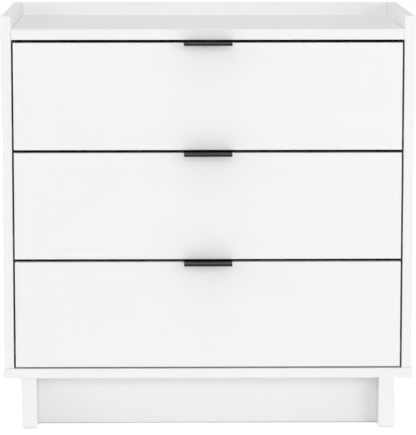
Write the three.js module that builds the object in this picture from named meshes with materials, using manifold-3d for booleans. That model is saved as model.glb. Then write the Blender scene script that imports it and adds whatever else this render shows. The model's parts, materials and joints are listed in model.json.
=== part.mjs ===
// A dresser-style changing table: an open-fronted tray on top, three inset drawers with edge
// pulls on roller runners, and a recessed plinth. Millimetres, +Z up, +X to the right as seen
// from the front, and the front towards -Y. The origin is on the floor, under the middle of
// the whole table, its pulls included.

import * as THREE from "three";
import { mergeVertices } from "three/addons/utils/BufferGeometryUtils.js";
import Module from "manifold-3d";

const wasm = await Module();
wasm.setup();

// Case
const caseWidth = 838; // over the two side panels
const caseDepth = 457; // front edge to back edge of a side panel
const sideThickness = 20;
const topThickness = 21;
const bottomThickness = 20;
const bottomOverhang = 2.5; // bottom panel past the sides and past the front
const rimHeight = 27; // tray rim above the tray's floor
const backRimThickness = 20;
const backPanelThickness = 3;
const backPanelInset = 10; // back edge of the sides to the back panel's groove
const backGrooveDepth = 6;

// Plinth
const plinthHeight = 104;
const plinthInset = 35; // side panel's outer face to the plinth's side board
const plinthSideThickness = 31;
const plinthRecess = 50; // case front to the plinth's front panel
const plinthPanelThickness = 16;
const plinthBackInset = 20; // case back to the plinth's back
const glideRadius = 11;
const glideHeight = 2;
const glideChamfer = 0.5;
const glideFromEnd = 40; // end of a plinth side board to a glide's centre

// Drawers
const drawerNames = ["bottom", "middle", "top"];
const frontHeight = 218.2;
const frontThickness = 18;
const frontGap = 6.4; // above each drawer front
const bottomGap = 3.2; // bottom drawer's front to the bottom panel
const frontSideGap = 4;
const boxHeight = 150;
const boxBackClearance = 25.25; // drawer box's back to the back panel
const boxThickness = 12; // drawer sides and back
const boxLift = 24; // front's lower edge to the box's lower edge
const backDrop = 10; // drawer back's top below the sides' top
const drawerBottomThickness = 4;
const drawerGrooveDepth = 6;
const drawerGrooveLift = 10; // box's lower edge to the groove

// Edge pulls, each a bent sheet over the top edge of its drawer front
const pullLength = 98;
const pullReach = 35; // case front to the pull's lip
const pullSheet = 1.5;
const pullLip = 5.2;
const pullTail = 16; // down the back of the drawer front
const pullBend = 1.8; // outer radius of a bend

// Runners and rollers
const runnerSpace = 12.5; // case side to drawer side
const runnerSheet = 1.2;
const runnerSetback = 2; // drawer front's back face to the runner's end
const runnerBackSetback = 3.25; // box's back to the runner's end
const rollerRadius = 11;
const rollerWidth = 5.4;
const rollerBevel = 0.8;
const rollerFromEnd = 14; // runner's end to its roller's axle
const rearAxleLift = 12; // box's lower edge to the rear roller's axle
const channelLip = 3; // height guard over the rear roller
const lipCutback = 14; // front roller's axle to the start of the lip
const trackLift = 1.5; // channel's top to the drawer runner's track
const axleRadius = 2.5;
const axleShoulder = 4.5;
const axleHead = 3.8;
const axleHeadThickness = 0.7;

// Clearances
const seat = 0.25; // hairline left where two boards or a board and a fitting meet
const grooveSlack = 0.25; // each face of a thin panel to its groove
const rolling = 0.3; // roller to its track, axle and shoulders
const flangeClearance = 1.4; // runner flange to the facing runner's web
const past = 1; // a cutting block past the face that it cuts

// Values worked out from the ones above
const frontY = (pullReach - caseDepth) / 2;
const insideWidth = caseWidth - 2 * sideThickness;
const drawerPitch = frontHeight + frontGap;
const openingHeight = drawerNames.length * drawerPitch + bottomGap;
const plinthTop = glideHeight + plinthHeight;
const bottomTop = plinthTop + bottomThickness;
const topUnderside = bottomTop + openingHeight;
const trayFloor = topUnderside + topThickness;
const tableTop = trayFloor + rimHeight;
const boxWidth = insideWidth - 2 * runnerSpace;
const boxInside = boxWidth - 2 * boxThickness;
const backGrooveWidth = backPanelThickness + 2 * grooveSlack;
const backGrooveFrontY = caseDepth - backPanelInset - backGrooveWidth;
const boxFrontY = frontThickness + seat;
const boxBackY = backGrooveFrontY - boxBackClearance;
const drawerFloor = boxLift + drawerGrooveLift;
const rollerSegments = 24;

// Materials
function paint(color, roughness, metalness = 0) {
  return new THREE.MeshStandardMaterial({ color, roughness, metalness });
}
const whiteLacquer = paint(0xf3f3f2, 0.45);
const drawerBoard = paint(0xebeae6, 0.6);
const hardboard = paint(0xe4e0d8, 0.7);
const coatedSteel = paint(0xdcdcd9, 0.4, 0.2);
const nylon = paint(0xeeece6, 0.5);
const blackCoat = paint(0x1b1b1c, 0.4, 0.5);
const glidePlastic = paint(0xb9b5ad, 0.6);

// Low and high ends of a stretch at the left (-1) or right (+1) of the middle
function span(side, near, far) {
  return side > 0 ? [near, far] : [-far, -near];
}

// A block between the low and high ends given for each axis
function block(x, y, z) {
  const geometry = new THREE.BoxGeometry(x[1] - x[0], y[1] - y[0], z[1] - z[0]);
  geometry.translate((x[0] + x[1]) / 2, (y[0] + y[1]) / 2, (z[0] + z[1]) / 2);
  return geometry;
}

function toSolid(geometry) {
  const bare = geometry.clone();
  bare.deleteAttribute("normal");
  bare.deleteAttribute("uv");
  const merged = mergeVertices(bare);
  const vertProperties = new Float32Array(merged.attributes.position.array);
  const triVerts = new Uint32Array(merged.index.array);
  return new wasm.Manifold(new wasm.Mesh({ numProp: 3, vertProperties, triVerts }));
}

function toGeometry(manifold) {
  const mesh = manifold.getMesh();
  const geometry = new THREE.BufferGeometry();
  geometry.setAttribute("position", new THREE.BufferAttribute(mesh.vertProperties, 3));
  geometry.setIndex(new THREE.BufferAttribute(mesh.triVerts, 1));
  geometry.computeVertexNormals();
  return geometry;
}

function cut(body, ...tools) {
  return toGeometry(tools.reduce((rest, tool) => rest.subtract(toSolid(tool)), toSolid(body)));
}

function join(...bodies) {
  return toGeometry(bodies.map(toSolid).reduce((whole, body) => whole.add(body)));
}

// A turned piece about the X axis. The profile lists [radius, distance along X] pairs, and a
// piece at the left is the mirror image of the one at the right.
function turned(profile, side, x, y, z) {
  const points = profile.map(([radius, along]) => new THREE.Vector2(radius, along));
  const geometry = new THREE.LatheGeometry(points, rollerSegments);
  geometry.rotateZ((-side * Math.PI) / 2);
  geometry.translate(side * x, y, z);
  return geometry;
}

function place(group, name, geometry, material) {
  const mesh = new THREE.Mesh(geometry, material);
  mesh.name = name;
  group.add(mesh);
}

// Back panel's groove: where it lies front to back
const backGrooveY = [backGrooveFrontY, backGrooveFrontY + backGrooveWidth];

function sidePanel(side) {
  const outer = caseWidth / 2;
  const inner = insideWidth / 2;
  const panel = block(span(side, inner, outer), [0, caseDepth], [bottomTop + seat, tableTop]);
  const groove = block(
    span(side, inner - past, inner + backGrooveDepth),
    backGrooveY,
    [bottomTop - past, topUnderside + backGrooveDepth],
  );
  return cut(panel, groove);
}

function topPanel() {
  const half = insideWidth / 2 - seat;
  const backEdge = caseDepth - backRimThickness - seat;
  return block([-half, half], [0, backEdge], [topUnderside, trayFloor]);
}

function bottomPanel() {
  const half = caseWidth / 2 + bottomOverhang;
  const grooveHalf = insideWidth / 2 + backGrooveDepth;
  const panel = block([-half, half], [-bottomOverhang, caseDepth], [plinthTop + seat, bottomTop]);
  const groove = block(
    [-grooveHalf, grooveHalf],
    backGrooveY,
    [bottomTop - backGrooveDepth, bottomTop + past],
  );
  return cut(panel, groove);
}

function backPanel() {
  const half = insideWidth / 2 + backGrooveDepth - seat;
  return block(
    [-half, half],
    [backGrooveY[0] + grooveSlack, backGrooveY[1] - grooveSlack],
    [bottomTop - backGrooveDepth + seat, topUnderside + backGrooveDepth - seat],
  );
}

// It stands behind the top panel's back edge, as high as the side rims
function backRim() {
  const half = insideWidth / 2 - seat;
  const board = block(
    [-half, half],
    [caseDepth - backRimThickness, caseDepth],
    [topUnderside, tableTop],
  );
  const groove = block(
    [-half - past, half + past],
    backGrooveY,
    [topUnderside - past, topUnderside + backGrooveDepth],
  );
  return cut(board, groove);
}

function addCase(group) {
  place(group, "left_side_panel", sidePanel(-1), whiteLacquer);
  place(group, "right_side_panel", sidePanel(1), whiteLacquer);
  place(group, "top_panel", topPanel(), whiteLacquer);
  place(group, "back_rim", backRim(), whiteLacquer);
  place(group, "bottom_panel", bottomPanel(), whiteLacquer);
  place(group, "back_panel", backPanel(), hardboard);
}

// Plinth: two side boards that stand on glides, and a front and a back panel between them
const plinthOuter = caseWidth / 2 - plinthInset;
const plinthInner = plinthOuter - plinthSideThickness;
const plinthBackY = caseDepth - plinthBackInset;
const plinthZ = [glideHeight + seat, plinthTop];

function plinthPanel(nearY) {
  const half = plinthInner - seat;
  return block([-half, half], [nearY, nearY + plinthPanelThickness], plinthZ);
}

function glide(side, y) {
  const points = [
    [0, 0],
    [glideRadius - glideChamfer, 0],
    [glideRadius, glideChamfer],
    [glideRadius, glideHeight],
    [0, glideHeight],
  ].map(([radius, height]) => new THREE.Vector2(radius, height));
  const geometry = new THREE.LatheGeometry(points, rollerSegments);
  geometry.rotateX(Math.PI / 2);
  geometry.translate((side * (plinthOuter + plinthInner)) / 2, y, 0);
  return geometry;
}

function addPlinth(group) {
  for (const [name, side] of [["left", -1], ["right", 1]]) {
    const board = block(span(side, plinthInner, plinthOuter), [0, plinthBackY], plinthZ);
    place(group, `plinth_${name}_board`, board, whiteLacquer);
    place(group, `glide_front_${name}`, glide(side, glideFromEnd), glidePlastic);
    place(group, `glide_rear_${name}`, glide(side, plinthBackY - glideFromEnd), glidePlastic);
  }
  place(group, "plinth_front_panel", plinthPanel(plinthRecess), whiteLacquer);
  place(group, "plinth_back_panel", plinthPanel(plinthBackY - plinthPanelThickness), whiteLacquer);
}

// Drawer pieces, in the drawer's own frame: z = 0 at the front's lower edge.
// One groove runs round the inside of the box and holds the drawer's bottom.
const bottomGrooveZ = [drawerFloor, drawerFloor + drawerBottomThickness + 2 * grooveSlack];
const boxBackInsideY = boxBackY - boxThickness;
const bottomHalf = boxInside / 2 + drawerGrooveDepth;

function drawerFront() {
  const half = insideWidth / 2 - frontSideGap;
  const board = block([-half, half], [0, frontThickness], [0, frontHeight]);
  const groove = block(
    [-bottomHalf, bottomHalf],
    [frontThickness - drawerGrooveDepth, frontThickness + past],
    bottomGrooveZ,
  );
  return cut(board, groove);
}

function drawerSide(side) {
  const inner = boxInside / 2;
  const board = block(
    span(side, inner, boxWidth / 2),
    [boxFrontY, boxBackY],
    [boxLift, boxLift + boxHeight],
  );
  const groove = block(
    span(side, inner - past, bottomHalf),
    [boxFrontY - past, boxBackInsideY + drawerGrooveDepth],
    bottomGrooveZ,
  );
  return cut(board, groove);
}

function drawerBack() {
  const half = boxInside / 2 - seat;
  const board = block(
    [-half, half],
    [boxBackInsideY, boxBackY],
    [boxLift, boxLift + boxHeight - backDrop],
  );
  const groove = block(
    [-half - past, half + past],
    [boxBackInsideY - past, boxBackInsideY + drawerGrooveDepth],
    bottomGrooveZ,
  );
  return cut(board, groove);
}

function drawerBottom() {
  const half = bottomHalf - seat;
  return block(
    [-half, half],
    [frontThickness - drawerGrooveDepth + seat, boxBackInsideY + drawerGrooveDepth - seat],
    [bottomGrooveZ[0] + grooveSlack, bottomGrooveZ[1] - grooveSlack],
  );
}

// The pull's section in (y, z): lip, flat sheet on the front's top edge, and tail behind it
function pull() {
  const under = frontHeight + seat;
  const over = under + pullSheet;
  const lipY = -pullReach;
  const tailY = frontThickness + seat + pullSheet;
  const innerBend = pullBend - pullSheet;
  const section = new THREE.Shape();
  section.moveTo(lipY, over - pullLip);
  section.lineTo(lipY + pullSheet, over - pullLip);
  section.lineTo(lipY + pullSheet, under - innerBend);
  section.absarc(lipY + pullBend, over - pullBend, innerBend, Math.PI, Math.PI / 2, true);
  section.lineTo(tailY - pullBend, under);
  section.absarc(tailY - pullBend, over - pullBend, innerBend, Math.PI / 2, 0, true);
  section.lineTo(tailY - pullSheet, over - pullTail);
  section.lineTo(tailY, over - pullTail);
  section.absarc(tailY - pullBend, over - pullBend, pullBend, 0, Math.PI / 2, false);
  section.absarc(lipY + pullBend, over - pullBend, pullBend, Math.PI / 2, Math.PI, false);
  const geometry = new THREE.ExtrudeGeometry(section, {
    depth: pullLength,
    bevelEnabled: false,
    curveSegments: 4,
  });
  const acrossX = new THREE.Matrix4().makeBasis(
    new THREE.Vector3(0, 1, 0),
    new THREE.Vector3(0, 0, 1),
    new THREE.Vector3(1, 0, 0),
  );
  geometry.applyMatrix4(acrossX);
  geometry.translate(-pullLength / 2, 0, 0);
  return geometry;
}

// Runner layout across X, measured from the middle at the right-hand side, and up Z
const caseWeb = [insideWidth / 2 - seat - runnerSheet, insideWidth / 2 - seat];
const drawerWeb = [boxWidth / 2 + seat, boxWidth / 2 + seat + runnerSheet];
const rollerX = (caseWeb[0] + drawerWeb[1]) / 2;
const runnerFrontY = frontThickness + runnerSetback;
const runnerBackY = boxBackY - runnerBackSetback;
const frontAxleY = runnerFrontY + rollerFromEnd;
const rearAxleY = runnerBackY - rollerFromEnd;
const rearAxleZ = boxLift + rearAxleLift;
const channelInside = rollerRadius + rolling; // rear axle to the channel's floor and lip
const channelHalf = channelInside + runnerSheet;
const trackZ = rearAxleZ + channelHalf + trackLift;
const frontAxleZ = trackZ - rolling - rollerRadius;

// An axle stub that grows out of a web: root, shoulder, shaft and head
function axleProfile() {
  const reach = rollerX - drawerWeb[1];
  const shoulder = reach - rollerWidth / 2 - rolling;
  const shaft = reach + rollerWidth / 2 + rolling;
  return [
    [0, -runnerSheet / 2],
    [axleShoulder, -runnerSheet / 2],
    [axleShoulder, shoulder],
    [axleRadius, shoulder],
    [axleRadius, shaft],
    [axleHead, shaft],
    [axleHead, shaft + axleHeadThickness],
    [0, shaft + axleHeadThickness],
  ];
}

function roller(side, y, z) {
  const half = rollerWidth / 2;
  const bore = axleRadius + rolling;
  const profile = [
    [bore, -half],
    [rollerRadius - rollerBevel, -half],
    [rollerRadius, rollerBevel - half],
    [rollerRadius, half - rollerBevel],
    [rollerRadius - rollerBevel, half],
    [bore, half],
    [bore, -half],
  ];
  return turned(profile, side, rollerX, y, z);
}

// C channel on the case side: floor for the rear roller, lip over it, front roller's axle
function caseRunner(side) {
  const low = rearAxleZ - channelHalf;
  const high = rearAxleZ + channelHalf;
  const length = [runnerFrontY, runnerBackY];
  const flangeTip = drawerWeb[1] + flangeClearance;
  const web = block(span(side, caseWeb[0], caseWeb[1]), length, [low, high]);
  const floor = block(span(side, flangeTip, caseWeb[1]), length, [low, low + runnerSheet]);
  const lip = block(
    span(side, caseWeb[0] - channelLip, caseWeb[1]),
    [frontAxleY + lipCutback, runnerBackY],
    [high - runnerSheet, high],
  );
  const axle = turned(axleProfile(), -side, -caseWeb[0], frontAxleY, frontAxleZ);
  return join(web, floor, lip, axle);
}

// Drawer runner: foot under the drawer side, web, track over the front roller, rear axle
function drawerRunner(side) {
  const footTop = boxLift - seat;
  const top = trackZ + runnerSheet;
  const length = [runnerFrontY, runnerBackY];
  const footTip = boxWidth / 2 - boxThickness;
  const trackTip = caseWeb[0] - flangeClearance;
  const foot = block(span(side, footTip, drawerWeb[1]), length, [footTop - runnerSheet, footTop]);
  const web = block(span(side, drawerWeb[0], drawerWeb[1]), length, [footTop - runnerSheet, top]);
  const track = block(span(side, drawerWeb[0], trackTip), length, [trackZ, top]);
  const axle = turned(axleProfile(), side, drawerWeb[1], rearAxleY, rearAxleZ);
  return join(foot, web, track, axle);
}

function addDrawer(group, drawer) {
  place(group, `${drawer}_drawer_front`, drawerFront(), whiteLacquer);
  place(group, `${drawer}_drawer_back`, drawerBack(), drawerBoard);
  place(group, `${drawer}_drawer_bottom`, drawerBottom(), hardboard);
  place(group, `${drawer}_drawer_pull`, pull(), blackCoat);
  for (const [name, side] of [["left", -1], ["right", 1]]) {
    place(group, `${drawer}_drawer_${name}_side`, drawerSide(side), drawerBoard);
    place(group, `${drawer}_${name}_drawer_runner`, drawerRunner(side), coatedSteel);
    place(group, `${drawer}_${name}_case_runner`, caseRunner(side), coatedSteel);
    place(group, `${drawer}_${name}_rear_roller`, roller(side, rearAxleY, rearAxleZ), nylon);
    place(group, `${drawer}_${name}_front_roller`, roller(side, frontAxleY, frontAxleZ), nylon);
  }
}

const table = new THREE.Group();
table.position.y = frontY;
addCase(table);
addPlinth(table);
drawerNames.forEach((drawer, index) => {
  const bay = new THREE.Group();
  bay.position.z = bottomTop + bottomGap + index * drawerPitch;
  addDrawer(bay, drawer);
  table.add(bay);
});

export default table;
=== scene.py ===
# %% [markdown]
# # A changing table with three drawers
# The table is a white case with an open-fronted tray on top, three inset drawers on roller
# runners, and a plinth set back under the case. The frame already holds every board, runner
# and roller at its true size. This lesson gives each of them its finish: boards with eased
# edges and a sprayed lacquer, bent sheet pulls, moulded rollers, and the screws and fittings
# that hold it all together.

# %% Load the frame
import json
import math

import bmesh
import bpy
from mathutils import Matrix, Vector


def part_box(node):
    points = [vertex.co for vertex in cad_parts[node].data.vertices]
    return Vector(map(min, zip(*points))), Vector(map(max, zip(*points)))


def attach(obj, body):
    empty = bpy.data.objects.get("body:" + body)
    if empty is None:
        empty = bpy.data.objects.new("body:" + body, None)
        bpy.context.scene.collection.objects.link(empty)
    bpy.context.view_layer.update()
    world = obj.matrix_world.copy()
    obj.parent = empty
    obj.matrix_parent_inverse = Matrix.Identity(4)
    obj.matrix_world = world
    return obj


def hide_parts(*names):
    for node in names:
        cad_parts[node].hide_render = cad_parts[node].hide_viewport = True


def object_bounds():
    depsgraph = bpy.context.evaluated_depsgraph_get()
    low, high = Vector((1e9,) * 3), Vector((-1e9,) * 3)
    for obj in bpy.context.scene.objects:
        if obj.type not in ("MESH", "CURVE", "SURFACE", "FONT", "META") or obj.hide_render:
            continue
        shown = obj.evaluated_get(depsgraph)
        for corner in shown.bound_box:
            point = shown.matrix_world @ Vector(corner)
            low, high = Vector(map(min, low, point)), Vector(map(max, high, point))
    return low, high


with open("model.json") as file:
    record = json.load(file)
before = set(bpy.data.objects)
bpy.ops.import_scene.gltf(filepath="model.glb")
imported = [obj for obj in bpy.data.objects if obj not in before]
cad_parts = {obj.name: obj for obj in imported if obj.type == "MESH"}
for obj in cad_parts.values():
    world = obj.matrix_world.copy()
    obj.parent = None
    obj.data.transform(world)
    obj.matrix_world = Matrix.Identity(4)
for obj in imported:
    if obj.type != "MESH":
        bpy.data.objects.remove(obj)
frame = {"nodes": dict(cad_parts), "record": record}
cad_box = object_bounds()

print("case and drawers span", [round(v, 3) for v in cad_box[1] - cad_box[0]], "m")

# %% [markdown]
# ## Where things are
# Every place comes from the frame's own boxes, so nothing is typed twice. A box is the lowest
# and the highest corner of a piece. The case's front plane is the front edge of a side panel,
# because the pulls stand out past it and would give a plane that is too far forward.

# %% Measure the case
DRAWERS = ("top", "middle", "bottom")
SIDES = ("left", "right")
case_low, case_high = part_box("right_side_panel")
front_y = case_low.y
print("case is", round(case_high.y - case_low.y, 3), "m deep")


# %% [markdown]
# ## The camera
# It stands in front of the case, a little to the left of the middle and above the tray, with a
# long lens: far enough back that the uprights stay nearly parallel, and high enough to see
# into the tray. A small downward lens shift lets the camera tilt less, which also keeps the
# uprights straighter. The distances are in metres, the lens and its sensor in millimetres.

# %% Place the camera
CAMERA_DISTANCE = 5.25
CAMERA_HEIGHT = 1.199
CAMERA_LEFT = 0.0724
AIM_HEIGHT = 0.4934
LENS_MM = 215.0
SENSOR_MM = 36
LENS_SHIFT = -0.06


def place_camera():
    data = bpy.data.cameras.new("front_camera")
    data.lens = LENS_MM
    data.sensor_width = SENSOR_MM
    data.shift_y = LENS_SHIFT
    camera = bpy.data.objects.new("front_camera", data)
    bpy.context.scene.collection.objects.link(camera)
    camera.location = (-CAMERA_LEFT, front_y - CAMERA_DISTANCE, CAMERA_HEIGHT)
    aim = Vector((0, front_y, AIM_HEIGHT)) - camera.location
    camera.rotation_euler = aim.to_track_quat("-Z", "Y").to_euler()
    bpy.context.scene.camera = camera
    return camera


camera = place_camera()
print("camera tilts down", round(90 - math.degrees(camera.rotation_euler.x), 1), "degrees")

# %% [markdown]
# ## Node groups that several finishes share
# A finish has effects that come back in other finishes: the fine ripple of a sprayed coat, the
# rubbed look of an edge, and a slow drift of tone over a wide panel. Each is a node group made
# once and used with its own numbers. A group here puts out only masks, values and normals,
# and the shader itself stays in the material, where the exporter can read it.


# %% Helpers for node groups
def new_group(name, inputs, outputs):
    """An empty shader group with named sockets: inputs as name: (kind, default)."""
    tree = bpy.data.node_groups.new(name, "ShaderNodeTree")
    for socket, (kind, default) in inputs.items():
        made = tree.interface.new_socket(socket, in_out="INPUT", socket_type=kind)
        if default is not None:
            made.default_value = default
    for socket, kind in outputs.items():
        tree.interface.new_socket(socket, in_out="OUTPUT", socket_type=kind)
    start = tree.nodes.new("NodeGroupInput")
    end = tree.nodes.new("NodeGroupOutput")
    return tree, start, end


def add_node(tree, kind, **settings):
    """A node with its properties and its inputs' plain values set by name."""
    node = tree.nodes.new(kind)
    for name, value in settings.items():
        if hasattr(node, name):
            setattr(node, name, value)
        else:
            node.inputs[name.replace("_", " ").title()].default_value = value
    return node


def color_mix(tree):
    """A colour Mix node and its factor, first, second and result sockets."""
    node = add_node(tree, "ShaderNodeMix", data_type="RGBA")
    sockets = {socket.identifier: socket for socket in [*node.inputs, *node.outputs]}
    return [sockets[key] for key in ("Factor_Float", "A_Color", "B_Color", "Result_Color")]


FLOAT = "NodeSocketFloat"
VECTOR = "NodeSocketVector"
COLOR = "NodeSocketColor"


# %% [markdown]
# ### Sprayed coat
# Lacquer and powder coat dry with a faint ripple, like orange peel, a few millimetres across.
# Real displacement would be wasted on something a few hundredths of a millimetre deep, so a
# bump is right. Two noises of different size keep it from looking like one regular pattern.


# %% Build the sprayed-coat group
FINE_RIPPLE = 3.7  # times finer than the broad ripple
FINE_SHARE = 0.35  # of the broad ripple's height


def sprayed_coat_group():
    tree, start, end = new_group(
        "sprayed coat",
        {"Vector": (VECTOR, None), "Ripple Size": (FLOAT, 300.0), "Depth": (FLOAT, 0.00004)},
        {"Normal": VECTOR},
    )
    link = tree.links.new
    broad = add_node(tree, "ShaderNodeTexNoise", detail=2.0)
    fine = add_node(tree, "ShaderNodeTexNoise", detail=1.0)
    finer = add_node(tree, "ShaderNodeMath", operation="MULTIPLY")
    finer.inputs[1].default_value = FINE_RIPPLE
    both = add_node(tree, "ShaderNodeMath", operation="MULTIPLY_ADD")
    both.inputs[1].default_value = FINE_SHARE
    bump = add_node(tree, "ShaderNodeBump")
    link(start.outputs["Vector"], broad.inputs["Vector"])
    link(start.outputs["Vector"], fine.inputs["Vector"])
    link(start.outputs["Ripple Size"], broad.inputs["Scale"])
    link(start.outputs["Ripple Size"], finer.inputs[0])
    link(finer.outputs[0], fine.inputs["Scale"])
    link(fine.outputs["Fac"], both.inputs[0])
    link(broad.outputs["Fac"], both.inputs[2])
    link(both.outputs[0], bump.inputs["Height"])
    link(start.outputs["Depth"], bump.inputs["Distance"])
    link(bump.outputs["Normal"], end.inputs["Normal"])
    return tree


SPRAYED_COAT = sprayed_coat_group()
print("group", SPRAYED_COAT.name, "has", len(SPRAYED_COAT.nodes), "nodes")

# %% [markdown]
# ### Rubbed edge
# Where two faces meet, hands and cloths polish a coat and thin it. A bevel node looks round
# the corner for the neighbouring face, and the angle between that softened normal and the true
# one is a mask that is 0 on the flat and 1 on an edge. A noise breaks the mask up, because
# nothing rubs evenly.


# %% Build the rubbed-edge group
FLAT_COSINE = 0.995  # between the true and the softened normal, where wear begins
EDGE_COSINE = 0.8  # where wear is full
PATCH_RANGE = (0.35, 0.7)  # noise levels that leave the coat whole and rub it fully


def rubbed_edge_group():
    tree, start, end = new_group(
        "rubbed edge",
        {"Vector": (VECTOR, None), "Width": (FLOAT, 0.002), "Patchiness": (FLOAT, 90.0)},
        {"Edge": FLOAT},
    )
    link = tree.links.new
    bevel = add_node(tree, "ShaderNodeBevel", samples=4)
    geometry = add_node(tree, "ShaderNodeNewGeometry")
    dot = add_node(tree, "ShaderNodeVectorMath", operation="DOT_PRODUCT")
    spread = add_node(tree, "ShaderNodeMapRange", clamp=True)
    spread.inputs["From Min"].default_value = FLAT_COSINE
    spread.inputs["From Max"].default_value = EDGE_COSINE
    noise = add_node(tree, "ShaderNodeTexNoise", detail=3.0)
    patches = add_node(tree, "ShaderNodeMapRange", clamp=True)
    patches.inputs["From Min"].default_value = PATCH_RANGE[0]
    patches.inputs["From Max"].default_value = PATCH_RANGE[1]
    product = add_node(tree, "ShaderNodeMath", operation="MULTIPLY", use_clamp=True)
    link(start.outputs["Width"], bevel.inputs["Radius"])
    link(bevel.outputs["Normal"], dot.inputs[0])
    link(geometry.outputs["Normal"], dot.inputs[1])
    link(dot.outputs["Value"], spread.inputs["Value"])
    link(start.outputs["Vector"], noise.inputs["Vector"])
    link(start.outputs["Patchiness"], noise.inputs["Scale"])
    link(noise.outputs["Fac"], patches.inputs["Value"])
    link(spread.outputs["Result"], product.inputs[0])
    link(patches.outputs["Result"], product.inputs[1])
    link(product.outputs[0], end.inputs["Edge"])
    return tree


RUBBED_EDGE = rubbed_edge_group()
print("group", RUBBED_EDGE.name, "has", len(RUBBED_EDGE.nodes), "nodes")

# %% [markdown]
# ### Slow drift
# A wide painted panel is never one tone: the coat is a hair thicker here and thinner there,
# and it gathers a little haze. Two colours a few levels apart are mixed by a very broad noise,
# and the same noise moves the roughness, so that reflections drift too.


# %% Build the slow-drift group
def slow_drift_group():
    tree, start, end = new_group(
        "slow drift",
        {
            "Vector": (VECTOR, None),
            "Scale": (FLOAT, 3.0),
            "Base": (COLOR, (0.8, 0.8, 0.8, 1)),
            "Drifted": (COLOR, (0.7, 0.7, 0.7, 1)),
            "Roughness Low": (FLOAT, 0.4),
            "Roughness High": (FLOAT, 0.5),
        },
        {"Color": COLOR, "Roughness": FLOAT},
    )
    link = tree.links.new
    noise = add_node(tree, "ShaderNodeTexNoise", detail=5.0, roughness=0.6)
    factor, first, second, result = color_mix(tree)
    rough = add_node(tree, "ShaderNodeMapRange", clamp=True)
    link(start.outputs["Vector"], noise.inputs["Vector"])
    link(start.outputs["Scale"], noise.inputs["Scale"])
    link(noise.outputs["Fac"], factor)
    link(start.outputs["Base"], first)
    link(start.outputs["Drifted"], second)
    link(noise.outputs["Fac"], rough.inputs["Value"])
    link(start.outputs["Roughness Low"], rough.inputs["To Min"])
    link(start.outputs["Roughness High"], rough.inputs["To Max"])
    link(result, end.inputs["Color"])
    link(rough.outputs["Result"], end.inputs["Roughness"])
    return tree


SLOW_DRIFT = slow_drift_group()
print("group", SLOW_DRIFT.name, "has", len(SLOW_DRIFT.nodes), "nodes")

# %% [markdown]
# ## Finishes
# All the coats on this table are built the same way: slow drift gives colour and roughness,
# the rubbed edge changes both a little along edges, and the sprayed coat gives the normal. One
# function makes that base, and each finish is a call with its own numbers. What is the same all
# over a surface, such as the metalness, is set on the shader's own socket.


# %% A coat with drift, rubbed edges and ripple
def place_group(material, group, vector, **values):
    node = material.node_tree.nodes.new("ShaderNodeGroup")
    node.node_tree = group
    material.node_tree.links.new(vector, node.inputs["Vector"])
    for name, value in values.items():
        node.inputs[name.replace("_", " ")].default_value = value
    return node


def new_material(name):
    """A material with its shader, and a stretchable object-space vector."""
    material = bpy.data.materials.new(name)
    material.use_nodes = True
    tree = material.node_tree
    shader = tree.nodes["Principled BSDF"]
    coordinates = tree.nodes.new("ShaderNodeTexCoord")
    mapping = tree.nodes.new("ShaderNodeMapping")
    tree.links.new(coordinates.outputs["Object"], mapping.inputs["Vector"])
    return material, shader, mapping


def coat(name, base, drifted, worn, roughness, ripple, depth, wear=0.5, **shader_values):
    """A sprayed or moulded finish. Colours are (r, g, b), and roughness is (low, high, worn)."""
    material, shader, mapping = new_material(name)
    tree = material.node_tree
    link = tree.links.new
    vector = mapping.outputs["Vector"]
    drift = place_group(
        material, SLOW_DRIFT, vector, Base=(*base, 1), Drifted=(*drifted, 1),
        Roughness_Low=roughness[0], Roughness_High=roughness[1],
    )
    edge = place_group(material, RUBBED_EDGE, vector)
    spray = place_group(material, SPRAYED_COAT, vector, Ripple_Size=ripple, Depth=depth)
    amount = add_node(tree, "ShaderNodeMath", operation="MULTIPLY")
    amount.inputs[1].default_value = wear
    link(edge.outputs["Edge"], amount.inputs[0])
    factor, first, second, result = color_mix(tree)
    second.default_value = (*worn, 1)
    link(amount.outputs[0], factor)
    link(drift.outputs["Color"], first)
    link(result, shader.inputs["Base Color"])
    smoother = add_node(tree, "ShaderNodeMix", data_type="FLOAT")  # inputs: 0 factor, 2 and 3 values
    smoother.inputs[3].default_value = roughness[2]
    link(amount.outputs[0], smoother.inputs[0])
    link(drift.outputs["Roughness"], smoother.inputs[2])
    link(smoother.outputs[0], shader.inputs["Roughness"])
    link(spray.outputs["Normal"], shader.inputs["Normal"])
    for socket, value in shader_values.items():
        shader.inputs[socket.replace("_", " ")].default_value = value
    return material


# %% [markdown]
# ### White lacquer, foil and hardboard
# The case, the drawer fronts and the plinth have a satin white lacquer. The drawer boxes are
# board with a slightly warmer foil that has a pressed pore texture: the same coat, with its
# pattern stretched along the board. The drawer bottoms and the back panel are hardboard with a
# thin roller coat, so their texture is coarser and duller.

# %% Make the board finishes
white_lacquer = coat(
    "white_lacquer", (0.885, 0.885, 0.882), (0.868, 0.868, 0.864), (0.91, 0.91, 0.905),
    roughness=(0.40, 0.50, 0.34), ripple=320.0, depth=0.00003,
)
drawer_foil_lengthwise = coat(
    "drawer_foil_lengthwise", (0.83, 0.822, 0.80), (0.79, 0.78, 0.755), (0.86, 0.85, 0.83),
    roughness=(0.48, 0.62, 0.45), ripple=500.0, depth=0.00008,
)
drawer_foil_crosswise = drawer_foil_lengthwise.copy()
drawer_foil_crosswise.name = "drawer_foil_crosswise"
PORE_STRETCH = 0.06


def stretch_pattern(material, scale):
    for node in material.node_tree.nodes:
        if node.type == "MAPPING":
            node.inputs["Scale"].default_value = scale


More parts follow.
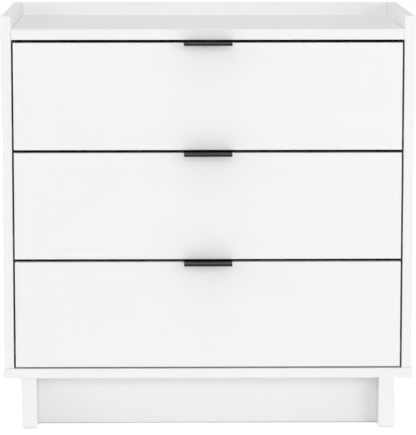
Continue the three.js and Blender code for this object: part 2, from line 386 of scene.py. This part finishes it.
stretch_pattern(drawer_foil_lengthwise, (1, PORE_STRETCH, 1))
stretch_pattern(drawer_foil_crosswise, (PORE_STRETCH, 1, 1))
coated_hardboard = coat(
    "coated_hardboard", (0.80, 0.785, 0.75), (0.74, 0.72, 0.68), (0.66, 0.58, 0.47),
    roughness=(0.58, 0.74, 0.6), ripple=700.0, depth=0.00012,
)

# %% [markdown]
# ### Metal and plastic
# The runners are steel sheet with an off-white epoxy coat that rubs thin on its folds. The pulls
# have a fine black powder coat, a little greyer where it is handled. Screws are zinc plated.
# Rollers, caps and glides are moulded nylon. The glides are real grey feet, and their grey is also
# painted shade: it is set to the tone of the thin contact shadow line under the legs.

# %% Make the fitting finishes
runner_epoxy = coat(
    "runner_epoxy", (0.72, 0.72, 0.705), (0.68, 0.68, 0.665), (0.50, 0.50, 0.49),
    roughness=(0.30, 0.42, 0.3), ripple=900.0, depth=0.00003, wear=0.7,
)
black_powder_coat = coat(
    "black_powder_coat", (0.010, 0.010, 0.011), (0.014, 0.014, 0.015), (0.035, 0.035, 0.037),
    roughness=(0.36, 0.48, 0.3), ripple=1400.0, depth=0.00004, Specular_IOR_Level=0.25,
)
zinc_plate = coat(
    "zinc_plate", (0.60, 0.61, 0.63), (0.50, 0.51, 0.54), (0.72, 0.73, 0.75),
    roughness=(0.24, 0.42, 0.2), ripple=1500.0, depth=0.00002, Metallic=1.0,
)
roller_nylon = coat(
    "roller_nylon", (0.84, 0.83, 0.79), (0.79, 0.775, 0.73), (0.70, 0.69, 0.66),
    roughness=(0.36, 0.5, 0.3), ripple=600.0, depth=0.00003, Subsurface_Weight=0.15,
)
cap_nylon = coat(
    "cap_nylon", (0.85, 0.85, 0.84), (0.81, 0.81, 0.80), (0.8, 0.8, 0.79),
    roughness=(0.4, 0.52, 0.36), ripple=800.0, depth=0.00003,
)
# Real grey glide feet whose tone is also painted shade: it stands for the contact shadow line under
# the legs.
glide_nylon = coat(
    "glide_nylon", (0.46, 0.45, 0.43), (0.40, 0.39, 0.37), (0.3, 0.29, 0.28),
    roughness=(0.5, 0.65, 0.5), ripple=800.0, depth=0.00004,
)
print(len(bpy.data.materials), "materials in the file")

# %% [markdown]
# ## Turning a solid into a finished piece
# The frame's boards have knife edges, which no real board has: an edge is eased with a turn of
# sandpaper before it is sprayed, and that thin rounding is what catches the light. Editing the
# frame isn't allowed, and it isn't needed. A copy is merged, its flat faces are made whole, and
# each sharp edge gets a small round bevel. Weighted normals keep the wide faces flat in shading.


# %% Turn mesh code into a piece
body_of = {
    node: body
    for body, nodes in frame["record"]["behaviour"]["bodies"].items()
    for node in nodes
}


def finish_piece(shape, name, material, body, nodes=()):
    """Turns mesh code into an object that rides on a body and stands for frame nodes."""
    mesh = bpy.data.meshes.new(name)
    shape.to_mesh(mesh)
    shape.free()
    mesh.materials.append(material)
    piece = bpy.data.objects.new(name, mesh)
    bpy.context.scene.collection.objects.link(piece)
    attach(piece, body)
    if nodes:
        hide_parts(*nodes)
    return piece


def bake_modifiers(piece):
    """Replaces an object's mesh by what its modifiers make of it, and removes them."""
    graph = bpy.context.evaluated_depsgraph_get()
    baked = bpy.data.meshes.new_from_object(piece.evaluated_get(graph))
    baked.name = piece.name
    old = piece.data
    piece.modifiers.clear()
    piece.data = baked
    bpy.data.meshes.remove(old)


def even_normals(piece):
    """Smooth shading that stays flat on the wide faces."""
    for face in piece.data.polygons:
        face.use_smooth = True
    weighted = piece.modifiers.new("weighted", "WEIGHTED_NORMAL")
    weighted.keep_sharp = True
    weighted.weight = 100
    bake_modifiers(piece)


# %% Ease the edges of a copy
WELD = 0.000005  # corners this near are one corner
FLAT_ANGLE = math.radians(1)
SHARP_ANGLE = math.radians(30)


def merged_shape(node):
    """The frame node's solid with shared corners and whole flat faces."""
    shape = bmesh.new()
    shape.from_mesh(frame["nodes"][node].data)
    bmesh.ops.remove_doubles(shape, verts=shape.verts, dist=WELD)
    bmesh.ops.dissolve_limit(
        shape, angle_limit=FLAT_ANGLE, verts=shape.verts, edges=shape.edges
    )
    return shape


def ease(node, name, material, radius, segments=3):
    """Makes the finished piece for a frame node, with its sharp edges rounded to a radius."""
    shape = merged_shape(node)
    sharp = [
        edge for edge in shape.edges
        if edge.is_manifold and edge.calc_face_angle() > SHARP_ANGLE
    ]
    bmesh.ops.bevel(
        shape, geom=sharp, offset=radius, segments=segments, profile=0.5,
        affect="EDGES", clamp_overlap=True,
    )
    even_normals(finish_piece(shape, name, material, body_of[node], [node]))


# %% [markdown]
# ## The case and the plinth
# Every board of the case and the plinth gets the same lacquer and a 0.5 mm eased edge. The back
# panel is thin hardboard in a groove, so its edges never show: the frame's own panel stays, and
# only its material slot changes.

# %% Finish the case
BOARD_EDGE = 0.0005
CASE_BOARDS = (
    "left_side_panel", "right_side_panel", "top_panel", "back_rim", "bottom_panel",
    "plinth_left_board", "plinth_right_board", "plinth_front_panel", "plinth_back_panel",
)


def repaint(node, material):
    """Gives a frame node its finish and leaves its mesh alone."""
    mesh = frame["nodes"][node].data
    if mesh.materials:
        mesh.materials[0] = material
    else:
        mesh.materials.append(material)


for node in CASE_BOARDS:
    ease(node, f"{node}_lacquered", white_lacquer, BOARD_EDGE)
repaint("back_panel", coated_hardboard)
# The glides get the grey that also stands for the contact shadow under the legs, which is painted
# shade.
for end in ("front", "rear"):
    for side in SIDES:
        repaint(f"glide_{end}_{side}", glide_nylon)
print(len(CASE_BOARDS), "case boards eased by", BOARD_EDGE * 1000, "mm")

# %% [markdown]
# ## The drawers
# A drawer front is lacquered like the case, with a slightly rounder edge, because it is what
# hands touch. The box behind it is foiled board, cut square and only broken at the edge.

# %% Finish the drawer boards
FRONT_EDGE = 0.001
BOX_EDGE = 0.0005
for drawer in DRAWERS:
    ease(f"{drawer}_drawer_front", f"{drawer}_front_lacquered", white_lacquer, FRONT_EDGE)
    for side in SIDES:
        node = f"{drawer}_drawer_{side}_side"
        ease(node, f"{drawer}_{side}_side_foiled", drawer_foil_lengthwise, BOX_EDGE, 2)
    ease(f"{drawer}_drawer_back", f"{drawer}_back_foiled", drawer_foil_crosswise, BOX_EDGE, 2)
    repaint(f"{drawer}_drawer_bottom", coated_hardboard)
print("drawer fronts eased by", FRONT_EDGE * 1000, "mm")

# %% [markdown]
# ## The edge pulls
# A pull is a strip of sheet bent twice: a lip in front for the fingers, a flat that lies on the
# drawer front's top edge, and a tail that is screwed to the back of the front. A strip has one
# section all along, so the section is drawn once as a bent centreline with its thickness, and
# swept across the pull's length. The bends are true arcs, and the sheet's cut edges are broken.

# %% Bend the pulls
SHEET = 0.0015
LIP = 0.0052
BEND = 0.0018  # outer radius
BEND_STEPS = 8
CUT_EDGE = 0.00025  # how far the sheet's cut edges are broken
CUT_ANGLE = math.radians(40)  # sharper than any step of a bend


def arc(centre, radius, start, stop):
    """Points on an arc in (y, z), from start to stop degrees."""
    angles = [start + (stop - start) * i / BEND_STEPS for i in range(BEND_STEPS + 1)]
    turns = [math.radians(a) for a in angles]
    return [(centre[0] + radius * math.cos(t), centre[1] + radius * math.sin(t)) for t in turns]


def pull_section(low, high):
    """The sheet's outline in (y, z), counter-clockwise as seen from +X."""
    front_bend = (low.y + BEND, high.z - BEND)
    back_bend = (high.y - BEND, high.z - BEND)
    inner = BEND - SHEET
    outline = [(low.y, high.z - LIP), (low.y + SHEET, high.z - LIP)]
    outline += arc(front_bend, inner, 180, 90)
    outline += arc(back_bend, inner, 90, 0)
    outline += [(high.y - SHEET, low.z), (high.y, low.z)]
    outline += arc(back_bend, BEND, 0, 90)
    outline += arc(front_bend, BEND, 90, 180)
    return outline


def bend_pull(drawer):
    node = f"{drawer}_drawer_pull"
    low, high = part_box(node)
    shape = bmesh.new()
    ends = [
        [shape.verts.new((x, y, z)) for y, z in pull_section(low, high)]
        for x in (low.x, high.x)
    ]
    count = len(ends[0])
    for i in range(count):
        j = (i + 1) % count
        shape.faces.new((ends[0][i], ends[0][j], ends[1][j], ends[1][i]))
    shape.faces.new(ends[0])
    shape.faces.new(ends[1])
    bmesh.ops.recalc_face_normals(shape, faces=shape.faces)
    cut_edges = [edge for edge in shape.edges if edge.calc_face_angle() > CUT_ANGLE]
    bmesh.ops.bevel(
        shape, geom=cut_edges, offset=CUT_EDGE, segments=2, profile=0.5,
        affect="EDGES", clamp_overlap=True,
    )
    piece = finish_piece(shape, f"{drawer}_pull_sheet", black_powder_coat, body_of[node], [node])
    even_normals(piece)
    return piece


pulls = {drawer: bend_pull(drawer) for drawer in DRAWERS}
print("each pull has", len(pulls["top"].data.polygons), "faces")

# %% [markdown]
# ## Runners
# A runner is a strip of sheet steel folded to a channel. Its folds are rounded, and the axle stub
# for its roller is riveted into it. The frame's runner is exact, so a copy with rounded folds
# is enough: the same easing as the boards, with a radius that suits thin sheet.

# %% Round the runners' folds
FOLD = 0.0003
for drawer in DRAWERS:
    for side in SIDES:
        for part in ("case_runner", "drawer_runner"):
            node = f"{drawer}_{side}_{part}"
            ease(node, f"{node}_folded", runner_epoxy, FOLD, 2)
print("runners folded, one pair for each side of each drawer")

# %% [markdown]
# ## Rollers
# A roller is turned work: one profile spun about its axle. Spin in mesh code gives a smooth
# wheel from a few profile points. The tread has round shoulders, and both flanks are dished
# between the rim and the hub, as a moulded wheel's are, so that it cools evenly in its mould.

# %% Spin the rollers
ROLLER_STEPS = 48
ROLLER_BORE = 0.0028
HUB_WALL = 0.0016
TREAD_WALL = 0.0024
SHOULDER = 0.0008
SHOULDER_ROUND = 0.3  # share of the shoulder left at the middle of its rounding
DISH = 0.0009


def roller_profile(radius, half):
    """(radius, across) points of a closed half-section, from the bore round to the bore."""
    hub = ROLLER_BORE + HUB_WALL
    rim = radius - TREAD_WALL
    corner = SHOULDER * SHOULDER_ROUND
    one_side = [
        (ROLLER_BORE, half), (hub, half), (hub + DISH, half - DISH), (rim - DISH, half - DISH),
        (rim, half), (radius - SHOULDER, half), (radius - corner, half - corner),
        (radius, half - SHOULDER),
    ]
    return one_side + [(r, -across) for r, across in reversed(one_side)]


def spin_roller(node):
    low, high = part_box(node)
    centre = (low + high) / 2
    radius = (high.z - low.z) / 2
    half = (high.x - low.x) / 2
    shape = bmesh.new()
    profile = [
        shape.verts.new(centre + Vector((across, 0, r)))
        for r, across in roller_profile(radius, half)
    ]
    loop = [shape.edges.new((profile[i - 1], profile[i])) for i in range(len(profile))]
    bmesh.ops.spin(
        shape, geom=loop, cent=centre, axis=(1, 0, 0), angle=math.tau,
        steps=ROLLER_STEPS, use_merge=True,
    )
    bmesh.ops.remove_doubles(shape, verts=shape.verts, dist=WELD)
    bmesh.ops.recalc_face_normals(shape, faces=shape.faces)
    piece = finish_piece(shape, f"{node}_moulded", roller_nylon, body_of[node], [node])
    even_normals(piece)
    return piece


rollers = [
    spin_roller(f"{drawer}_{side}_{end}_roller")
    for drawer in DRAWERS for side in SIDES for end in ("front", "rear")
]
print(len(rollers), "rollers of", round(rollers[0].dimensions.z * 1000, 1), "mm")

# %% [markdown]
# ## Screws, cams and caps
# The same few fasteners come back dozens of times, which is what Geometry Nodes are for. A
# carrier mesh has one bare point where each fastener goes, and an attribute that says which
# way it faces. The tree puts a head on each point, turns it about its own axis by a random
# amount, as a screwdriver leaves it, scales it to its real size, and gives it its finish. The
# result is made a plain mesh, one for each body, before it rides.

# %% Model the heads
HEAD_STEPS = 24


def turned_head(name, rings, slot_reach, slot_depth):
    """A unit head: rings of (radius, height), with a cross slot sunk into the middle."""
    shape = bmesh.new()
    made = []
    for radius, height in rings:
        ring = []
        for step in range(HEAD_STEPS):
            turn = math.tau * step / HEAD_STEPS
            in_slot = radius < slot_reach and step % (HEAD_STEPS // 4) == 0
            z = height - (slot_depth if in_slot else 0)
            ring.append(shape.verts.new((radius * math.cos(turn), radius * math.sin(turn), z)))
        made.append(ring)
    for outer, inner in zip(made, made[1:]):
        for step in range(HEAD_STEPS):
            after = (step + 1) % HEAD_STEPS
            shape.faces.new((outer[step], outer[after], inner[after], inner[step]))
    middle_height = rings[-1][1] - slot_depth
    middle = shape.verts.new((0, 0, middle_height))
    for step in range(HEAD_STEPS):
        shape.faces.new((made[-1][step], made[-1][(step + 1) % HEAD_STEPS], middle))
    shape.faces.new(list(reversed(made[0])))
    bmesh.ops.recalc_face_normals(shape, faces=shape.faces)
    mesh = bpy.data.meshes.new(name)
    shape.to_mesh(mesh)
    shape.free()
    return bpy.data.objects.new(name, mesh)


pan_head = turned_head(
    "pan_head",
    [(0.96, 0), (1, 0.12), (0.97, 0.5), (0.84, 0.82), (0.62, 0.96), (0.34, 1), (0.16, 1)],
    slot_reach=0.6, slot_depth=0.7,
)
flat_head = turned_head(
    "flat_head",
    [(0.98, 0), (1, 0.3), (0.96, 0.85), (0.86, 1), (0.62, 1), (0.34, 1), (0.16, 1)],
    slot_reach=0.6, slot_depth=0.8,
)
cam_head = turned_head(
    "cam_head",
    [(1, 0), (1, 0.8), (0.95, 1), (0.72, 1), (0.66, 0.7), (0.5, 0.7), (0.2, 0.7)],
    slot_reach=0.55, slot_depth=0.5,
)
smooth_cap = turned_head(
    "smooth_cap",
    [(1, 0), (1, 0.25), (0.95, 0.55), (0.8, 0.8), (0.55, 0.94), (0.3, 0.99), (0.12, 1)],
    slot_reach=0, slot_depth=0,
)
print("a screw head has", len(pan_head.data.polygons), "faces")

# %% [markdown]
# ### The scatter tree
# The tree's sizes are named inputs, so one tree serves every kind of fastener. The random turn
# has a fixed seed. It ends in Realize Instances and Set Material, because instances would be
# lost when the mesh is taken out.


# %% Build the scatter tree
def fastener_tree():
    tree = bpy.data.node_groups.new("fasteners on points", "GeometryNodeTree")
    interface = tree.interface
    interface.new_socket("Points", in_out="INPUT", socket_type="NodeSocketGeometry")
    interface.new_socket("Head", in_out="INPUT", socket_type="NodeSocketObject")
    interface.new_socket("Radius", in_out="INPUT", socket_type=FLOAT)
    interface.new_socket("Height", in_out="INPUT", socket_type=FLOAT)
    interface.new_socket("Seed", in_out="INPUT", socket_type="NodeSocketInt")
    interface.new_socket("Finish", in_out="INPUT", socket_type="NodeSocketMaterial")
    interface.new_socket("Fasteners", in_out="OUTPUT", socket_type="NodeSocketGeometry")
    link = tree.links.new
    start = tree.nodes.new("NodeGroupInput")
    end = tree.nodes.new("NodeGroupOutput")
    aim = add_node(tree, "GeometryNodeInputNamedAttribute", data_type="FLOAT_VECTOR")
    aim.inputs["Name"].default_value = "aim"
    face_out = add_node(tree, "FunctionNodeAlignRotationToVector", axis="Z")
    turn = add_node(tree, "FunctionNodeRandomValue", data_type="FLOAT")
    turn.inputs[3].default_value = math.tau
    about_z = tree.nodes.new("ShaderNodeCombineXYZ")
    as_rotation = tree.nodes.new("FunctionNodeEulerToRotation")
    both = add_node(tree, "FunctionNodeRotateRotation", rotation_space="LOCAL")
    size = tree.nodes.new("ShaderNodeCombineXYZ")
    head = add_node(tree, "GeometryNodeObjectInfo", transform_space="ORIGINAL")
    instances = tree.nodes.new("GeometryNodeInstanceOnPoints")
    realize = tree.nodes.new("GeometryNodeRealizeInstances")
    finish = tree.nodes.new("GeometryNodeSetMaterial")
    link(aim.outputs["Attribute"], face_out.inputs["Vector"])
    link(start.outputs["Seed"], turn.inputs["Seed"])
    link(turn.outputs[1], about_z.inputs["Z"])
    link(about_z.outputs[0], as_rotation.inputs[0])
    link(face_out.outputs[0], both.inputs[0])
    link(as_rotation.outputs[0], both.inputs[1])
    link(start.outputs["Radius"], size.inputs["X"])
    link(start.outputs["Radius"], size.inputs["Y"])
    link(start.outputs["Height"], size.inputs["Z"])
    link(start.outputs["Head"], head.inputs["Object"])
    link(start.outputs["Points"], instances.inputs["Points"])
    link(head.outputs["Geometry"], instances.inputs["Instance"])
    link(both.outputs[0], instances.inputs["Rotation"])
    link(size.outputs[0], instances.inputs["Scale"])
    link(instances.outputs[0], realize.inputs[0])
    link(realize.outputs[0], finish.inputs["Geometry"])
    link(start.outputs["Finish"], finish.inputs["Material"])
    link(finish.outputs[0], end.inputs[0])
    return tree


FASTENER_TREE = fastener_tree()
print("the scatter tree has", len(FASTENER_TREE.nodes), "nodes")

# %% [markdown]
# ### From places to a piece
# A carrier is the tree's input: a mesh of points and nothing else. Its modifier's inputs are set
# by their identifiers before it is first evaluated, and then the result takes its place.


# %% Fasten a set of heads to a body
def carrier(name, places):
    """Bare points, each with the way its head faces."""
    mesh = bpy.data.meshes.new(name)
    mesh.from_pydata([tuple(point) for point, _ in places], [], [])
    aim = mesh.attributes.new("aim", "FLOAT_VECTOR", "POINT")
    for i, (_, way) in enumerate(places):
        aim.data[i].vector = way
    piece = bpy.data.objects.new(name, mesh)
    bpy.context.scene.collection.objects.link(piece)
    return piece


def fasten(name, body, places, head, radius, height, finish, seed):
    """Puts a head on every place, each (point, outward way), as one piece of a body."""
    piece = carrier(name, places)
    modifier = piece.modifiers.new("fasteners", "NODES")
    modifier.node_group = FASTENER_TREE
    values = {
        "Head": head, "Radius": radius, "Height": height, "Seed": seed, "Finish": finish,
    }
    for item in FASTENER_TREE.interface.items_tree:
        if item.in_out == "INPUT" and item.name in values:
            modifier[item.identifier] = values[item.name]
    bake_modifiers(piece)
    for face in piece.data.polygons:
        face.use_smooth = True
    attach(piece, body)
    print(name, "has", len(places), "heads and", len(piece.data.polygons), "faces")


# %% [markdown]
# ### Screws in the runners
# A case runner has three flat-headed screws through its web into the side panel, flat enough for
# the rear roller's axle to pass. A drawer runner has three pan heads up through its foot into
# the drawer side. Both rows are set out as shares of the runner's length.

# %% Find the places in the runners
OUT = {"left": Vector((-1, 0, 0)), "right": Vector((1, 0, 0))}
UP = Vector((0, 0, 1))
BACKWARD = Vector((0, 1, 0))
RUNNER_SCREWS = (0.14, 0.42, 0.86)  # shares of the runner's length
WEB_INSET = 0.00145  # side panel's face to the web's free face


def outer_face(side, low, high):
    """The x of a board's face that looks away from the drawer."""
    return high.x if side == "right" else low.x


def inner_face(side, low, high):
    """The x of a board's face that looks into the drawer."""
    return low.x if side == "right" else high.x


def case_runner_screws():
    places = []
    for drawer in DRAWERS:
        for side in SIDES:
            low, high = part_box(f"{drawer}_{side}_case_runner")
            panel_low, panel_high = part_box(f"{side}_side_panel")
            web = inner_face(side, panel_low, panel_high) - OUT[side].x * WEB_INSET
            height = (low.z + high.z) / 2
            for share in RUNNER_SCREWS:
                y = low.y + share * (high.y - low.y)
                places.append((Vector((web, y, height)), -OUT[side]))
    return places


def foot_screws(drawer):
    places = []
    for side in SIDES:
        low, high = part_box(f"{drawer}_{side}_drawer_runner")
        board_low, board_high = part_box(f"{drawer}_drawer_{side}_side")
        x = (board_low.x + board_high.x) / 2
        for share in RUNNER_SCREWS:
            y = low.y + share * (high.y - low.y)
            places.append((Vector((x, y, low.z)), -UP))
    return places


# %% [markdown]
# ### Screws, cams and caps in the boards
# Two screws hold each pull's tail. Cams draw each drawer side to its front, and screws go
# through the sides into the drawer's back, at the same two heights. The back rim is screwed to
# the top panel from behind, under caps that stay almost flush, so that the table can stand
# against a wall.

# %% Find the places in the boards
PULL_SCREW_SHARE = 0.6  # of the pull's half length
PULL_SCREW_LIFT = 0.006  # above the tail's lower edge
FITTING_LIFT = 0.045  # drawer side's lower edge to its lower fitting
FITTING_DROP = 0.03  # drawer side's top edge to its upper fitting
CAM_SETBACK = 0.034  # drawer side's front end to a cam's middle
CAP_SHARES = (-0.85, -0.3, 0.3, 0.85)  # of the back rim's half length
CAP_SUNK = 0.0009  # how deep the caps sit in the back rim


def pull_screws(drawer):
    low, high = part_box(f"{drawer}_drawer_pull")
    z = low.z + PULL_SCREW_LIFT
    return [
        (Vector((x * PULL_SCREW_SHARE, high.y, z)), BACKWARD) for x in (low.x, high.x)
    ]


def fitting_heights(low, high):
    return low.z + FITTING_LIFT, high.z - FITTING_DROP


def drawer_cams(drawer):
    places = []
    for side in SIDES:
        low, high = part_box(f"{drawer}_drawer_{side}_side")
        x = inner_face(side, low, high)
        for z in fitting_heights(low, high):
            places.append((Vector((x, low.y + CAM_SETBACK, z)), -OUT[side]))
    return places


def side_screws(drawer):
    places = []
    for side in SIDES:
        low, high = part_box(f"{drawer}_drawer_{side}_side")
        back_low, back_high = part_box(f"{drawer}_drawer_back")
        y = (back_low.y + back_high.y) / 2
        x = outer_face(side, low, high)
        for z in fitting_heights(low, high):
            places.append((Vector((x, y, z)), OUT[side]))
    return places


def rim_caps():
    rim_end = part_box("back_rim")[1]
    top_low, top_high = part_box("top_panel")
    z = (top_low.z + top_high.z) / 2
    y = rim_end.y - CAP_SUNK
    return [(Vector((share * rim_end.x, y, z)), BACKWARD) for share in CAP_SHARES]


# %% [markdown]
# ### Putting them in
# Each call makes one piece: one kind of fastener on one body, so that a drawer takes its own
# fittings along when it slides. Radius and height are a head's real size in metres. Every piece
# has its own seed, or the heads of all the drawers would be turned alike.

# %% Place the fasteners
fasten(
    "case_runner_screws", "cabinet", case_runner_screws(), flat_head,
    radius=0.0034, height=0.0004, finish=zinc_plate, seed=3,
)
fasten(
    "back_rim_caps", "cabinet", rim_caps(), smooth_cap,
    radius=0.006, height=0.0012, finish=cap_nylon, seed=4,
)
for number, drawer in enumerate(DRAWERS):
    body = f"{drawer}_drawer"
    fasten(
        f"{drawer}_foot_screws", body, foot_screws(drawer), pan_head,
        radius=0.0032, height=0.0014, finish=zinc_plate, seed=10 + number,
    )
    fasten(
        f"{drawer}_pull_screws", body, pull_screws(drawer), pan_head,
        radius=0.0036, height=0.0022, finish=black_powder_coat, seed=20 + number,
    )
    fasten(
        f"{drawer}_cams", body, drawer_cams(drawer), cam_head,
        radius=0.0075, height=0.0008, finish=zinc_plate, seed=30 + number,
    )
    fasten(
        f"{drawer}_side_screws", body, side_screws(drawer), flat_head,
        radius=0.0042, height=0.0006, finish=zinc_plate, seed=40 + number,
    )

# %% [markdown]
# ## Floor and background
# The floor is pale and takes the table's shadow. To the camera, and in reflections, it and the
# world are lifted to white by Light Path, so the table stands on a clean white ground while
# the light on it stays plain. The floor ends before it gets darker than the world behind it,
# which would draw a grey band along the horizon.

# %% Lay the floor
FLOOR_HALF = 5.5
FLOOR_TONE = 0.93
FLOOR_LIFT = 0.36  # added to what the camera and reflections see


def seen_directly(tree):
    """A factor that is 1 for camera, mirror and see-through rays, and 0 for light itself."""
    path = tree.nodes.new("ShaderNodeLightPath")
    first = add_node(tree, "ShaderNodeMath", operation="MAXIMUM")
    second = add_node(tree, "ShaderNodeMath", operation="MAXIMUM")
    tree.links.new(path.outputs["Is Camera Ray"], first.inputs[0])
    tree.links.new(path.outputs["Is Glossy Ray"], first.inputs[1])
    tree.links.new(first.outputs[0], second.inputs[0])
    tree.links.new(path.outputs["Is Transmission Ray"], second.inputs[1])
    return second.outputs[0]


def lay_floor():
    material = bpy.data.materials.new("pale_floor")
    material.use_nodes = True
    tree = material.node_tree
    shader = tree.nodes["Principled BSDF"]
    shader.inputs["Base Color"].default_value = (FLOOR_TONE, FLOOR_TONE, FLOOR_TONE, 1)
    shader.inputs["Roughness"].default_value = 0.9
    shader.inputs["Emission Color"].default_value = (1, 1, 1, 1)
    lift = add_node(tree, "ShaderNodeMath", operation="MULTIPLY")
    lift.inputs[1].default_value = FLOOR_LIFT
    tree.links.new(seen_directly(tree), lift.inputs[0])
    tree.links.new(lift.outputs[0], shader.inputs["Emission Strength"])
    mesh = bpy.data.meshes.new("floor")
    corners = [(-1, -1), (1, -1), (1, 1), (-1, 1)]
    mesh.from_pydata([(FLOOR_HALF * x, FLOOR_HALF * y, 0) for x, y in corners], [], [(0, 1, 2, 3)])
    mesh.materials.append(material)
    floor = bpy.data.objects.new("floor", mesh)
    bpy.context.scene.collection.objects.link(floor)


lay_floor()
print("floor is", 2 * FLOOR_HALF, "m wide")

# %% [markdown]
# ## Light
# A level light comes from all around. Wide soft lamps in front and at both sides light the
# fronts and turn the faces apart, one overhead lights the tray, and a low one behind keeps the
# back from going grey. It stays below the tray, which would mirror a higher one. All of them
# stand metres away, so that they light the top and the foot of the table alike.

# %% Light the table
AMBIENT = 0.36


def light_world():
    world = bpy.data.worlds.new("studio")
    bpy.context.scene.world = world
    world.use_nodes = True
    tree = world.node_tree
    background = tree.nodes["Background"]
    background.inputs["Color"].default_value = (1, 1, 1, 1)
    strength = add_node(tree, "ShaderNodeMapRange", clamp=True)
    strength.inputs["To Min"].default_value = AMBIENT
    strength.inputs["To Max"].default_value = 1.0
    tree.links.new(seen_directly(tree), strength.inputs["Value"])
    tree.links.new(strength.outputs["Result"], background.inputs["Strength"])


def soft_lamp(name, level, azimuth, elevation, distance, size):
    """A square lamp that would light a white card facing it to this level."""
    data = bpy.data.lights.new(name, "AREA")
    data.shape = "SQUARE"
    data.size = size
    data.energy = level * math.pi ** 2 * distance ** 2
    lamp = bpy.data.objects.new(name, data)
    bpy.context.scene.collection.objects.link(lamp)
    turn = math.radians(azimuth)
    rise = math.radians(elevation)
    way = Vector((
        math.sin(turn) * math.cos(rise), -math.cos(turn) * math.cos(rise), math.sin(rise),
    ))
    target = (cad_box[0] + cad_box[1]) / 2
    lamp.location = target + way * distance
    lamp.rotation_euler = (-way).to_track_quat("-Z", "Y").to_euler()
    lamp.visible_camera = False


LAMPS = {
    # name: level, degrees to the right of straight ahead, degrees up, distance, size
    "high_lamp": (0.08, 0, 20, 8.0, 3.0),
    "top_lamp": (0.245, 0, 80, 6.0, 5.0),
    "right_front_lamp": (0.26, 35, 8, 8.0, 4.0),
    "left_front_lamp": (0.07, -35, 8, 8.0, 4.0),
    "right_lamp": (0.16, 75, 15, 8.0, 4.0),
    "left_lamp": (0.31, -75, 15, 8.0, 4.0),
    "back_lamp": (0.28, 188, 0, 6.0, 0.8),
}
light_world()
for name, (level, azimuth, elevation, distance, size) in LAMPS.items():
    soft_lamp(name, level, azimuth, elevation, distance, size)
print(len(LAMPS), "soft lamps round the table")
bpy.context.scene.view_settings.view_transform = "Standard"
